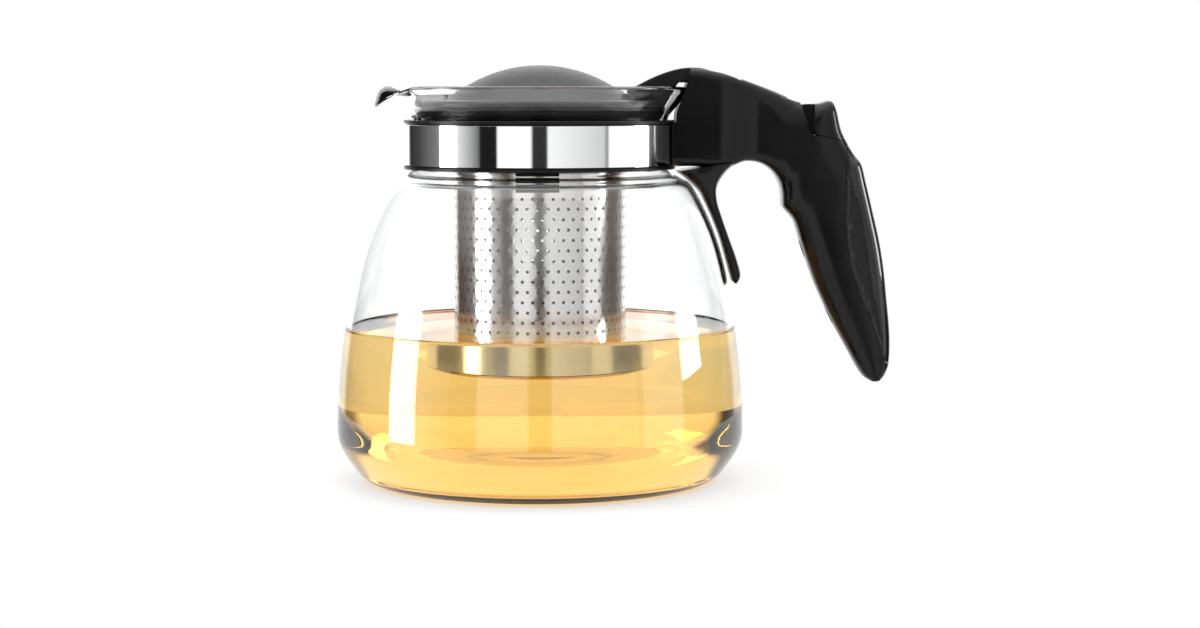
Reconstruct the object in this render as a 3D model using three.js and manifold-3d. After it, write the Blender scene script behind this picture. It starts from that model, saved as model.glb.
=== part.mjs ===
// Glass tea jug with a lift-out infuser, a hinged lid and a moulded handle, in millimetres, +Z up.
// The origin is the centre of the jug's flat base. The handle points along +X, the pouring lip along -X.
// Every piece is a separate closed solid; neighbours keep a running gap so that they can move apart.
import * as THREE from "three";
import { mergeVertices } from "three/addons/utils/BufferGeometryUtils.js";
import Module from "manifold-3d";

const wasm = await Module();
wasm.setup();

// ---- Driving dimensions ----
const GAP = 0.35; // clearance left between neighbouring pieces
const ROUND = 40; // facets round the jug's axis
const PIN_FACETS = 16;

const JUG = { wall: 2, floor: 3, baseRadius: 52, neckRadius: 41.5, neckBottom: 101, neckTop: 117 };
const LIP = { halfAngle: 0.62 };
const BAND = { inner: 43.3, outer: 43.9, bottom: 102.2, top: 115.2, earReach: 53, earGap: 2 };
const LINER = { inner: 41.85, outer: 43, flange: 43.9, bottom: 100.9, top: 116.6, flangeHeight: 1 };
const COLLAR = {
  outer: 38.9, inner: 37.3, bottom: 103, coneStart: 117.2, flangeRadius: 40.8, top: 120.7, floor: 1.6,
};
const SPIGOT = { inner: 24.8, outer: 26.9, bottom: 97 };
const SEAL = { inner: 38.2, outer: 39.1, bottom: 107.6, height: 2.4 };
const TONGUE = { inner: 28.3, outer: 29.9, bottom: 93.2, halfWidth: 6.8 };
const POUR = { holes: 7, holeRadius: 2.7, ringRadius: 33, step: 20, notchHalfWidth: 10, notchBottom: 112 };
const BASKET = { inner: 27.3, outer: 27.9, bottom: 35, top: 102.7, wallStart: 36.4, corner: 3, floor: 0.8 };
const HOLES = { columns: 12, rows: 4, radius: 1.5, firstHeight: 46, pitch: 12 };
const LID = {
  ringOuter: 40.6, ringBottom: 121.1, ringTop: 123, skirtOuter: 36, skirtInner: 34.2, skirtBottom: 116,
};
const DOME = { sphere: 45, top: 134.2, edgeRadius: 31, wall: 1.4, seatTop: 120.4, seatThickness: 1.6 };
const HINGE = { x: 55.5, z: 124.5, pinRadius: 1.5, pinHalfLength: 9.8 };
const ARM = { halfWidth: 10, slotHalfWidth: 4, eyeRadius: 4 };
const BRACKET = { halfWidth: 3.5, eyeRadius: 3.1 };
const HEEL = { reach: 5, swing: 25, radius: 1.2 }; // the bar under the lid's hinge that the push rod meets
const ROD = { front: 59.1, rear: 85.7, bottom: 117.2, top: 120.6, halfWidth: 3 };
const LEVER = {
  x: 88.7, z: 110.2, pinRadius: 1.5, pinHalfLength: 8.6, hubRadius: 3.2,
  coreHalfWidth: 6.4, tailHalfWidth: 9.4,
};
const HANDLE = {
  headHalfWidth: 13.2, gripHalfWidth: 10.5, endHalfWidth: 7.8, legHalfWidth: 6.5, headStart: 58, headEnd: 70,
};
const LEG = { clear: 0.7, heights: [99.2, 98, 96.3, 94.2, 88, 81, 74] };
const LOOP = { x: 67.1, z: 92.5, radius: 10.95 };
const COVER_SCREW = { radius: 1.25, headRadius: 2.6, headLength: 1.8 };
const COVER_SCREWS = [
  { name: "cover_screw_upper", z: 75, head: 89.5, tip: 106 },
  { name: "cover_screw_lower", z: 53, head: 98, tip: 110.5 },
];
const CLAMP = { x: 49.4, z: 108.7, screwRadius: 1.5, headRadius: 2.8, nutSide: 5.5, nutThickness: 2.2 };

// ---- Materials ----
const glass = new THREE.MeshStandardMaterial({
  color: 0xeef4f4,
  roughness: 0.03,
  metalness: 0,
  transparent: true,
  opacity: 0.3,
});
const polishedSteel = new THREE.MeshStandardMaterial({ color: 0xd4d6d8, roughness: 0.1, metalness: 1 });
const satinSteel = new THREE.MeshStandardMaterial({ color: 0xa9abad, roughness: 0.32, metalness: 1 });
const meshSteel = new THREE.MeshStandardMaterial({ color: 0xb9bbbd, roughness: 0.35, metalness: 1 });
const pinSteel = new THREE.MeshStandardMaterial({ color: 0x9a9c9f, roughness: 0.3, metalness: 1 });
const glossBlack = new THREE.MeshStandardMaterial({ color: 0x0b0b0c, roughness: 0.18, metalness: 0 });
const sealGrey = new THREE.MeshStandardMaterial({ color: 0x8f9296, roughness: 0.6, metalness: 0 });
const satinBlack = new THREE.MeshStandardMaterial({ color: 0x101011, roughness: 0.4, metalness: 0 });

// ---- Solids and booleans ----
// A closed three.js geometry as a manifold solid.
function solid(geometry) {
  const bare = geometry.clone();
  bare.deleteAttribute("normal");
  bare.deleteAttribute("uv");
  const merged = mergeVertices(bare, 1e-4);
  return new wasm.Manifold(
    new wasm.Mesh({
      numProp: 3,
      vertProperties: merged.getAttribute("position").array,
      triVerts: new Uint32Array(merged.index.array),
    }),
  );
}

// A manifold solid as a three.js geometry.
function geometryOf(body) {
  const mesh = body.getMesh();
  const geometry = new THREE.BufferGeometry();
  geometry.setAttribute("position", new THREE.BufferAttribute(mesh.vertProperties, 3));
  geometry.setIndex(new THREE.BufferAttribute(mesh.triVerts, 1));
  geometry.computeVertexNormals();
  return geometry;
}

function named(name, body, material) {
  const mesh = new THREE.Mesh(geometryOf(body), material);
  mesh.name = name;
  return mesh;
}

// ---- Shape helpers ----
function vectors(points) {
  return points.map(([x, y]) => new THREE.Vector2(x, y));
}

// A ring or cup turned round the Z axis from [radius, height] points, from the bottom outside upwards.
function turned(points, facets = ROUND) {
  return solid(new THREE.LatheGeometry(vectors(points), facets).rotateX(Math.PI / 2));
}

// A plain ring with a rectangular section.
function ring(inner, outer, bottom, top, facets = ROUND) {
  return turned([[inner, bottom], [outer, bottom], [outer, top], [inner, top], [inner, bottom]], facets);
}

// A side-view outline in X and Z, given width along Y and centred on the XZ plane.
function plateGeometry(shape, halfWidth, curveSegments = 5) {
  const options = { depth: 2 * halfWidth, bevelEnabled: false, curveSegments };
  const geometry = new THREE.ExtrudeGeometry(shape, options);
  return geometry.rotateX(Math.PI / 2).translate(0, halfWidth, 0);
}

// A straight-sided plate through [x, z] corners.
function plate(points, halfWidth) {
  return solid(plateGeometry(new THREE.Shape(vectors(points)), halfWidth));
}

function box(x0, x1, y0, y1, z0, z1) {
  const block = new THREE.BoxGeometry(x1 - x0, y1 - y0, z1 - z0);
  return solid(block.translate((x0 + x1) / 2, (y0 + y1) / 2, (z0 + z1) / 2));
}

// A round bar along Y, from y0 to y1, at x and z.
function crossBar(radius, x, z, y0, y1, facets = PIN_FACETS) {
  return solid(new THREE.CylinderGeometry(radius, radius, y1 - y0, facets).translate(x, (y0 + y1) / 2, z));
}

function smooth(t) {
  const clamped = Math.min(1, Math.max(0, t));
  return clamped * clamped * (3 - 2 * clamped);
}

// ---- Glass jug ----
const bodyCurve = new THREE.SplineCurve(
  vectors([
    [59.6, 3], [65.4, 12], [66, 22], [65, 38], [61.8, 61],
    [57.2, 79], [50.2, 94.2], [45.4, 98.2], [42.2, 99.8],
  ]),
);
const bodyOuter = [...vectors([[JUG.baseRadius, 0], [56.4, 0.9]]), ...bodyCurve.getPoints(14)];
const rimOuter = vectors([
  [41.5, 117], [42.2, 118.5], [43.7, 120.4], [45.3, 122.6], [46.5, 124.6], [47.1, 126], [47.4, 127],
]);
const lipOuter = vectors([
  [41.5, 117], [43.2, 119.2], [45, 122], [47, 124.6], [49.3, 125], [51, 122.8], [51.3, 118.8],
]);

// The radius of the jug's outer wall at a height on the body, found on the curve's own points.
function jugRadiusAt(height) {
  const above = bodyOuter.findIndex((p) => p.y >= height);
  const [low, high] = [bodyOuter[above - 1], bodyOuter[above]];
  return THREE.MathUtils.mapLinear(height, low.y, high.y, low.x, high.x);
}

// Points moved sideways by a distance, to the left of the direction of travel.
function offset(points, distance) {
  return points.map((p, i) => {
    const next = points[Math.min(i + 1, points.length - 1)];
    const along = next.clone().sub(points[Math.max(i - 1, 0)]).normalize();
    return new THREE.Vector2(p.x - along.y * distance, p.y + along.x * distance);
  });
}

// The wall's whole section for a given rim: up the outside, over the rounded edge and down the inside.
function jugSection(rim) {
  const outer = [...bodyOuter, new THREE.Vector2(JUG.neckRadius, JUG.neckBottom), ...rim];
  const wall = offset(outer, JUG.wall).slice(3);
  const last = rim[rim.length - 1];
  const lastInner = wall[wall.length - 1];
  const across = last.clone().sub(lastInner).normalize();
  const crown = last.clone().add(lastInner).multiplyScalar(0.5);
  crown.add(new THREE.Vector2(-across.y, across.x).multiplyScalar(JUG.wall / 2));
  const floor = vectors([[wall[0].x - 2.5, JUG.floor], [0, JUG.floor]]);
  return [new THREE.Vector2(0, 0), ...outer, crown, ...wall.reverse(), ...floor];
}

// How far the pouring lip has taken over from the plain rim, at an angle round the axis: 1 at -X.
function lipShare(angle) {
  return smooth(1 - (Math.PI - Math.abs(angle)) / LIP.halfAngle);
}

function makeGlassJug() {
  const plain = jugSection(rimOuter);
  const lip = jugSection(lipOuter);
  const geometry = new THREE.LatheGeometry(plain, ROUND).rotateX(Math.PI / 2);
  const position = geometry.getAttribute("position");
  for (let i = 0; i < position.count; i++) {
    const k = i % plain.length;
    if (plain[k].x < 1e-6) continue;
    const angle = Math.atan2(position.getY(i), position.getX(i));
    const at = plain[k].clone().lerp(lip[k], lipShare(angle));
    position.setXYZ(i, at.x * Math.cos(angle), at.x * Math.sin(angle), at.y);
  }
  return solid(geometry);
}

// ---- Neck clamp: liner, steel band, screw and nut ----
function makeNeckLiner() {
  const { inner, outer, flange, bottom, top, flangeHeight } = LINER;
  return turned([
    [inner, bottom],
    [flange, bottom],
    [flange, bottom + flangeHeight],
    [outer, bottom + flangeHeight],
    [outer, top - flangeHeight],
    [flange, top - flangeHeight],
    [flange, top],
    [inner, top],
    [inner, bottom],
  ]);
}

function makeNeckBand() {
  const thickness = BAND.outer - BAND.inner;
  const earStart = BAND.inner + 0.15;
  const hoop = ring(BAND.inner, BAND.outer, BAND.bottom, BAND.top);
  const split = box(0, BAND.earReach, -BAND.earGap, BAND.earGap, BAND.bottom - 1, BAND.top + 1);
  const [low, high] = [BAND.bottom + 1, BAND.top - 1];
  const ear = box(earStart, BAND.earReach, BAND.earGap, BAND.earGap + thickness, low, high);
  const hole = crossBar(CLAMP.screwRadius + GAP, CLAMP.x, CLAMP.z, -6, 6);
  return hoop.subtract(split).add(ear).add(ear.mirror([0, 1, 0])).subtract(hole);
}

function makeClampScrew() {
  const shank = crossBar(CLAMP.screwRadius, CLAMP.x, CLAMP.z, -6.6, 8);
  const head = crossBar(CLAMP.headRadius, CLAMP.x, CLAMP.z, 7.6, 10);
  const slot = box(CLAMP.x - 3, CLAMP.x + 3, 9, 11, CLAMP.z - 0.5, CLAMP.z + 0.5);
  return shank.add(head).subtract(slot);
}

function makeClampNut() {
  const half = CLAMP.nutSide / 2;
  const { x, z, nutThickness } = CLAMP;
  const nut = box(x - half, x + half, -6.2, -6.2 + nutThickness, z - half, z + half);
  return nut.subtract(crossBar(CLAMP.screwRadius + GAP, CLAMP.x, CLAMP.z, -8, 0));
}

// ---- Handle ----
// The seam between the handle and its back cover, from the top down, and the cover's outer edge.
const seam = [
  [98.8, 105.2], [98.5, 92], [98.6, 81], [100.4, 70], [104.7, 58.5], [109.4, 47.6], [111.8, 39],
];
const coverEdge = [
  [103.7, 103.4], [105.6, 96.4], [107.9, 87.1], [110.2, 77.4], [112.3, 63], [113.7, 50], [113.9, 38],
];

function handleOutline() {
  const shape = new THREE.Shape();
  shape.moveTo(49.6, 133.2);
  shape.lineTo(38, 133.2);
  shape.lineTo(38, 101.9);
  shape.lineTo(45.2, 101.9);
  // Front of the leg, a little clear of the glass, down to its rounded tip.
  for (const height of LEG.heights) shape.lineTo(jugRadiusAt(height) + LEG.clear, height);
  shape.lineTo(61.6, 66);
  shape.quadraticCurveTo(62.6, 63.2, 64.4, 64.8);
  shape.splineThru(vectors([[64.4, 68], [62.4, 74], [60, 81], [57.6, 88], [56.2, 92.5]]));
  // Over the finger loop, then the small ledge where the forefinger stops, and down the grip.
  shape.absarc(LOOP.x, LOOP.z, LOOP.radius, Math.PI, 0, true);
  shape.lineTo(78.6, 88.4);
  shape.lineTo(81.6, 85);
  shape.splineThru(vectors([[84.2, 77.4], [88.8, 64.4], [95, 51], [103, 36.4]]));
  shape.quadraticCurveTo(106.4, 31.6, 110.4, 32.6);
  shape.quadraticCurveTo(112.6, 34, 111.5, 38.8);
  for (const [x, z] of [...seam].reverse().slice(1)) shape.lineTo(x - GAP, z);
  // Under the thumb lever's tail, up the end of the head and back along its top.
  shape.lineTo(98.2, 110);
  shape.lineTo(93.2, 110.9);
  shape.lineTo(88, 112);
  shape.lineTo(86.8, 112.2);
  shape.lineTo(83.5, 122.6);
  shape.splineThru(vectors([[76, 125.7], [66, 129.4], [57, 132.1], [49.6, 133.2]]));
  return shape;
}

// The handle's half width at a place in side view: broad at the head, slim down the leg and at the end.
function handleHalfWidth(x, z) {
  const { headHalfWidth, gripHalfWidth, endHalfWidth, legHalfWidth, headStart, headEnd } = HANDLE;
  const narrowing = smooth((x - headStart) / (headEnd - headStart));
  const head = THREE.MathUtils.lerp(headHalfWidth, gripHalfWidth, narrowing);
  if (x < LOOP.x) return THREE.MathUtils.lerp(head, legHalfWidth, smooth((101 - z) / 14));
  return THREE.MathUtils.lerp(head, endHalfWidth, smooth((90 - z) / 60));
}

// A side-view outline widened to the handle's own width, less an inset on each side.
function handleSolid(shape, inset) {
  const geometry = plateGeometry(shape, 1, 6);
  const position = geometry.getAttribute("position");
  for (let i = 0; i < position.count; i++) {
    position.setY(i, position.getY(i) * (handleHalfWidth(position.getX(i), position.getZ(i)) - inset));
  }
  return solid(geometry);
}

function makeHandleBody() {
  const rodRoom = GAP + 0.05;
  const hubRoom = LEVER.coreHalfWidth + 0.5;
  const pinRoom = LEVER.pinHalfLength + GAP;
  const cuts = [
    // Wrapped round the band, and cleared for the glass rim above it.
    ring(20, BAND.outer + GAP + 0.15, 99, JUG.neckTop + 0.5, 64),
    turned([[20, 116], [45.6, 116], [45.6, 119], [49.6, 129.6], [49.6, 140], [20, 140], [20, 116]], 64),
    // The open-topped slot where the lid's hinge lies, and the push rod's channel behind it.
    box(40, 65.2, -ARM.halfWidth - 0.5, ARM.halfWidth + 0.5, ROD.bottom - rodRoom, 140),
    box(60, 86, -ROD.halfWidth - rodRoom, ROD.halfWidth + rodRoom, ROD.bottom - rodRoom, ROD.top + rodRoom),
    // The lever's mouth, hub pocket and pin hole.
    box(81.6, 104, -hubRoom, hubRoom, 111, 130),
    crossBar(LEVER.hubRadius + 0.5, LEVER.x, LEVER.z, -hubRoom, hubRoom, 20),
    crossBar(LEVER.pinRadius + GAP, LEVER.x, LEVER.z, -pinRoom, pinRoom),
    // Room for the band's ears, the nut and the clamp screw, which is reached from the far side.
    box(40, BAND.earReach + 0.6, -3.2, 3.2, BAND.bottom + 0.4, BAND.top - 0.4),
    box(40, CLAMP.x + 3.2, -6.7, -3, CLAMP.z - 3.2, CLAMP.z + 3.2),
    crossBar(CLAMP.screwRadius + GAP, CLAMP.x, CLAMP.z, -7.2, 8),
    crossBar(CLAMP.headRadius + 0.5, CLAMP.x, CLAMP.z, 7.2, 20, 20),
  ];
  for (const screw of COVER_SCREWS) cuts.push(...coverScrewWay(screw));
  return cuts.reduce((body, cut) => body.subtract(cut), handleSolid(handleOutline(), 0));
}

// A round bar along X, from x0 to x1, on the handle's middle plane.
function longBar(radius, x0, x1, z, facets = PIN_FACETS) {
  const bar = new THREE.CylinderGeometry(radius, radius, x1 - x0, facets).rotateZ(Math.PI / 2);
  return solid(bar.translate((x0 + x1) / 2, 0, z));
}

// The hole for a cover screw: wide for its head up to the seat, then narrow for its shank.
function coverScrewWay({ z, head, tip }) {
  const seat = head + COVER_SCREW.headLength + GAP;
  const { radius, headRadius } = COVER_SCREW;
  return [longBar(headRadius + GAP, 70, seat, z), longBar(radius + GAP, 70, tip + GAP, z)];
}

function makeCoverScrew({ z, head, tip }) {
  const { radius, headRadius, headLength } = COVER_SCREW;
  const slot = box(head - 1, head + 0.8, -headRadius - 1, headRadius + 1, z - 0.4, z + 0.4);
  return longBar(headRadius, head, head + headLength, z).add(longBar(radius, head, tip, z)).subtract(slot);
}

function makeBackCover() {
  const shape = new THREE.Shape();
  shape.moveTo(99.2, 107);
  shape.lineTo(101.4, 105.9);
  shape.splineThru(vectors(coverEdge));
  shape.lineTo(112.4, 37.4);
  for (const [x, z] of [...seam].reverse().slice(1)) shape.lineTo(x + 0.3, z);
  shape.lineTo(99.2, 107);
  const cover = handleSolid(shape, 0.6);
  return COVER_SCREWS.reduce((body, screw) => body.subtract(coverScrewWay(screw)[1]), cover);
}

// ---- Thumb lever and push rod ----
// The steel pin of a pivot.
function makePin({ x, z, pinRadius, pinHalfLength }) {
  return crossBar(pinRadius, x, z, -pinHalfLength, pinHalfLength);
}

function makeThumbLever() {
  const tail = [[88.4, 121.8], [88.4, 112.7], [93.2, 111.6], [97.8, 110.7], [94.3, 122.2]];
  const core = [[86, 121.6], [86, 112.6], [85.6, 110.6], [91.8, 110.6], [93, 112.4], [94, 121.6]];
  const { x, z, hubRadius, coreHalfWidth, tailHalfWidth, pinRadius } = LEVER;
  const hub = crossBar(hubRadius, x, z, -coreHalfWidth, coreHalfWidth, 20);
  const lever = plate(tail, tailHalfWidth).add(plate(core, coreHalfWidth)).add(hub);
  return lever.subtract(crossBar(pinRadius + GAP, x, z, -12, 12));
}

function makePushRod() {
  const { front, rear, bottom, top, halfWidth } = ROD;
  return plate([[front, bottom], [rear, bottom + 0.8], [rear, top], [front, top]].reverse(), halfWidth);
}

// ---- Infuser collar with its hinge bracket ----
function makeInfuserCollar() {
  const { outer, inner, bottom, coneStart, flangeRadius, top, floor } = COLLAR;
  const wall = turned([
    [SPIGOT.inner, SPIGOT.bottom],
    [SPIGOT.outer, SPIGOT.bottom],
    [SPIGOT.outer, bottom],
    [outer, bottom],
    [outer, SEAL.bottom - GAP],
    [SEAL.inner - GAP, SEAL.bottom - GAP],
    [SEAL.inner - GAP, SEAL.bottom + SEAL.height + GAP],
    [outer, SEAL.bottom + SEAL.height + GAP],
    [outer, coneStart],
    [flangeRadius, top - 0.4],
    [flangeRadius, top],
    [inner, top],
    [inner, bottom + floor],
    [SPIGOT.inner, bottom + floor],
    [SPIGOT.inner, SPIGOT.bottom],
  ]);
  const tongueRing = ring(TONGUE.inner, TONGUE.outer, TONGUE.bottom, bottom + 0.5);
  const tongues = tongueRing.intersect(box(-TONGUE.halfWidth, TONGUE.halfWidth, -40, 40, 90, 110));
  const bracket = [
    [37.6, 117], [38.8, 117], [39, 119.2], [40.8, 121.6],
    [42.2, 123.7], [43.4, 125.9], [44.2, 127.9], [44.9, 128.65],
    [49.6, 128.65], [52.6, 125.6], [55.5, 124.5], [57.6, 126.7],
    [54.4, 129.2], [50, 130.9], [43.6, 130.7], [41, 128.6],
    [39.5, 125.6], [38, 122],
  ];
  const eye = crossBar(BRACKET.eyeRadius, HINGE.x, HINGE.z, -BRACKET.halfWidth, BRACKET.halfWidth, 20);
  const collar = wall.add(tongues).add(plate(bracket, BRACKET.halfWidth)).add(eye);
  const pinWay = crossBar(HINGE.pinRadius + GAP, HINGE.x, HINGE.z, -12, 12);
  const open = collar.subtract(pinWay).subtract(pourNotch());
  return pourHoles().reduce((body, hole) => body.subtract(hole), open);
}

function makeCollarSeal() {
  return ring(SEAL.inner, SEAL.outer, SEAL.bottom, SEAL.bottom + SEAL.height);
}

// The way out for the tea: holes through the collar's floor and a gap in the walls, both towards the lip.
function pourHoles() {
  return Array.from({ length: POUR.holes }, (_, i) => {
    const angle = Math.PI + THREE.MathUtils.degToRad(POUR.step * (i - (POUR.holes - 1) / 2));
    const bar = new THREE.CylinderGeometry(POUR.holeRadius, POUR.holeRadius, 6, 10).rotateX(Math.PI / 2);
    const [x, y] = [POUR.ringRadius * Math.cos(angle), POUR.ringRadius * Math.sin(angle)];
    return solid(bar.translate(x, y, COLLAR.bottom));
  });
}

function pourNotch() {
  return box(-45, -28, -POUR.notchHalfWidth, POUR.notchHalfWidth, POUR.notchBottom, LID.ringBottom - 0.2);
}

// ---- Steel basket ----
// A round drill of HOLES.radius along X or Z, turned and lifted into place.
function drill(length, place) {
  return solid(place(new THREE.CylinderGeometry(HOLES.radius, HOLES.radius, length, 6)));
}

function makeBasketWall() {
  const { inner, outer, wallStart, top } = BASKET;
  let wall = ring(inner, outer, wallStart, top, 48);
  for (let row = 0; row < HOLES.rows; row++) {
    const height = HOLES.firstHeight + row * HOLES.pitch;
    for (let column = 0; column < HOLES.columns / 2; column++) {
      const angle = ((column + (row % 2) / 2) * 2 * Math.PI) / HOLES.columns;
      wall = wall.subtract(drill(2 * outer + 4, (bar) => bar.rotateZ(angle).translate(0, 0, height)));
    }
  }
  return wall;
}

function makeBasketBase() {
  const { inner, outer, bottom, wallStart, corner, floor } = BASKET;
  const plug = inner - GAP;
  let base = turned(
    [
      [0, bottom],
      [outer - corner, bottom],
      [outer - 0.4, bottom + 1],
      [plug, wallStart - 0.3],
      [plug, wallStart + 2],
      [plug - floor, wallStart + 2],
      [plug - floor - 1, bottom + floor],
      [0, bottom + floor],
    ],
    48,
  );
  for (let i = 0; i < 6; i++) {
    const angle = (i * Math.PI) / 3;
    const [x, y] = [14 * Math.cos(angle), 14 * Math.sin(angle)];
    const place = (bar) => bar.rotateX(Math.PI / 2).translate(x, y, bottom);
    base = base.subtract(drill(6, place));
  }
  return base;
}

// ---- Lid ----
// The side view of the lid's arm: up from the ring, over the glass rim and round the hinge.
function armOutline() {
  const shape = new THREE.Shape();
  shape.moveTo(33.4, 121.3);
  shape.lineTo(39.8, 121.9);
  shape.lineTo(41.7, 124.4);
  shape.lineTo(43.3, 127.6);
  shape.lineTo(44.6, 128.7);
  shape.lineTo(49.6, 128.7);
  shape.lineTo(51.7, 126.4);
  shape.absarc(HINGE.x, HINGE.z, ARM.eyeRadius, 2.75, 0.35 + 2 * Math.PI, false);
  shape.lineTo(60.9, 127.6);
  shape.splineThru(
    vectors([
      [59.7, 129.2], [56.5, 131.7], [51.5, 133.2], [46.2, 133.3], [41.3, 132.6], [36.6, 131], [33.4, 127.6],
    ]),
  );
  shape.lineTo(33.4, 121.3);
  return shape;
}

function makeLidFrame() {
  const { ringOuter, ringBottom, ringTop, skirtOuter, skirtInner, skirtBottom } = LID;
  const seatBottom = DOME.seatTop - DOME.seatThickness;
  const disc = turned([
    [0, seatBottom],
    [skirtInner, seatBottom],
    [skirtInner, skirtBottom],
    [skirtOuter, skirtBottom],
    [skirtOuter, ringBottom],
    [ringOuter, ringBottom],
    [ringOuter, ringTop - 0.5],
    [ringOuter - 0.8, ringTop],
    [DOME.edgeRadius + GAP, ringTop],
    [DOME.edgeRadius + GAP, DOME.seatTop],
    [0, DOME.seatTop],
  ]);
  const swing = THREE.MathUtils.degToRad(HEEL.swing);
  const heelX = HINGE.x + HEEL.reach * Math.sin(swing);
  const heelZ = HINGE.z - HEEL.reach * Math.cos(swing);
  const webOutline = [[52.6, 122.6], [heelX - 1, heelZ - 0.4], [heelX + 1, heelZ - 0.4], [59.2, 123.4]];
  const web = plate(webOutline, ARM.halfWidth);
  const arm = solid(plateGeometry(armOutline(), ARM.halfWidth, 4)).add(web);
  const bracketRoom = plate(
    [
      [36.9, 110], [60.6, 110], [60.6, 125.4], [58.6, 128.2],
      [55.2, 130.2], [50.6, 131.6], [43, 131.5], [40.4, 129.6],
      [38.6, 126.4], [36.9, 122.4],
    ],
    ARM.slotHalfWidth,
  );
  const domeRoom = ball(DOME.sphere + GAP).intersect(box(-40, 40, -40, 40, DOME.seatTop, 140));
  const heel = crossBar(HEEL.radius, heelX, heelZ, -ARM.halfWidth, ARM.halfWidth, 12);
  const pinWay = crossBar(HINGE.pinRadius + GAP, HINGE.x, HINGE.z, -12, 12);
  const skirtGap = pourNotch().intersect(box(-45, 0, -20, 20, 0, DOME.seatTop - DOME.seatThickness - 0.01));
  const frame = disc.subtract(skirtGap).add(arm.subtract(domeRoom));
  return frame.subtract(bracketRoom).add(heel).subtract(pinWay);
}

// A whole ball, placed so that its top is the dome's top when it has the dome's own radius.
function ball(radius) {
  const geometry = new THREE.SphereGeometry(radius, ROUND, 40).rotateX(Math.PI / 2);
  return solid(geometry.translate(0, 0, DOME.top - DOME.sphere));
}

function makeLidDome() {
  const middle = DOME.top - DOME.sphere;
  const widest = Math.asin(DOME.edgeRadius / DOME.sphere);
  const steps = 8;
  const arc = (radius, i) => {
    const angle = (widest * i) / steps;
    return [i === 0 ? 0 : radius * Math.sin(angle), middle + radius * Math.cos(angle)];
  };
  const inside = Array.from({ length: steps + 1 }, (_, i) => arc(DOME.sphere - DOME.wall, i));
  const outside = Array.from({ length: steps + 1 }, (_, i) => arc(DOME.sphere, steps - i));
  return turned([...inside, ...outside]);
}

// ---- Assembly ----
const jug = new THREE.Group();
jug.add(
  named("glass_jug", makeGlassJug(), glass),
  named("neck_liner", makeNeckLiner(), satinBlack),
  named("neck_band", makeNeckBand(), polishedSteel),
  named("clamp_screw", makeClampScrew(), pinSteel),
  named("clamp_nut", makeClampNut(), pinSteel),
  named("handle_body", makeHandleBody(), glossBlack),
  named("handle_back_cover", makeBackCover(), glossBlack),
  ...COVER_SCREWS.map((screw) => named(screw.name, makeCoverScrew(screw), pinSteel)),
  named("lever_pin", makePin(LEVER), pinSteel),
);

const opener = new THREE.Group();
opener.add(named("thumb_lever", makeThumbLever(), glossBlack), named("push_rod", makePushRod(), satinBlack));

const infuser = new THREE.Group();
infuser.add(
  named("infuser_collar", makeInfuserCollar(), satinBlack),
  named("collar_seal", makeCollarSeal(), sealGrey),
  named("hinge_pin", makePin(HINGE), pinSteel),
);

const basket = new THREE.Group();
basket.add(
  named("basket_wall", makeBasketWall(), meshSteel),
  named("basket_base", makeBasketBase(), meshSteel),
);

const lid = new THREE.Group();
lid.add(named("lid_frame", makeLidFrame(), satinBlack), named("lid_dome", makeLidDome(), satinSteel));

const teaJug = new THREE.Group();
teaJug.add(jug, opener, infuser, basket, lid);

export default teaJug;
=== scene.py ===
"""Glass tea jug with a lift-out steel infuser, a domed lid and a black handle: the finished look.

The CAD frame is loaded first and gives every piece its place. Lengths in the profiles are in
millimetres, with the origin at the centre of the jug's base, +Z up and the handle along +X.
"""

import math
from contextlib import contextmanager

import bpy
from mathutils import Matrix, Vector


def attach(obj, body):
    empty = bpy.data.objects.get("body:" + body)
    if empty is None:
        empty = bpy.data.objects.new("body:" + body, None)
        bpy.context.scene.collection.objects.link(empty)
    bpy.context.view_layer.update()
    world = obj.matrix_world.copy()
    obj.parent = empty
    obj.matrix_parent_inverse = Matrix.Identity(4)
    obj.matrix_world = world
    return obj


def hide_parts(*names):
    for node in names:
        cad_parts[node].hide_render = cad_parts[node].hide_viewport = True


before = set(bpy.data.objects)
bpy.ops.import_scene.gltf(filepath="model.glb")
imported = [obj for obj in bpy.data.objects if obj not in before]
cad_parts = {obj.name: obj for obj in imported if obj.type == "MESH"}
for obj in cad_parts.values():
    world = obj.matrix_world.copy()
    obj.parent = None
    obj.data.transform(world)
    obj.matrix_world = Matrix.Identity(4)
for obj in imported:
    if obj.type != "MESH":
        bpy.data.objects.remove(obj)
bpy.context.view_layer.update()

bl_info = {
    "name": "Tea jug with infuser",
    "version": (1, 0, 0),
    "blender": (4, 5, 0),
    "location": "3D View > Sidebar > Tea jug",
    "description": "Builds a glass tea jug with a steel infuser, a domed lid and a black handle",
    "category": "Object",
}

MM = 0.001
# How far apart the rings of a tube are drawn before they are shaped.
LEVEL_STEP = 0.01

# ---- Shapes shared by several pieces, in millimetres ----
NECK_RADIUS = 41.5
BODY_FOOT = [(52, 0), (54.6, 0.15), (56.6, 0.85)]
BODY_CONTROL = [
    (59.6, 3), (65.4, 12), (66, 22), (65, 38), (61.8, 61), (57.2, 79), (50.2, 94.2), (45.4, 98.2),
    (42.2, 99.8),
]
RIM_CONTROL = [
    (41.5, 117), (42.2, 118.4), (43.7, 120.2), (45.3, 122.2), (46.5, 124), (47.1, 125.3), (47.4, 126.2),
]
LIP_CONTROL = [
    (41.5, 117), (42.6, 118.8), (44, 121.2), (45.9, 124.1), (48.3, 126.2), (50.7, 125.1), (51.9, 121.2),
]
# Half the angle, in radians, over which the rim runs out into the lip.
LIP_HALF_ANGLE = 0.66
# How far the tea reaches into the glass, so that no air shows between them.
TEA_OVERLAP = 1.1

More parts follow.
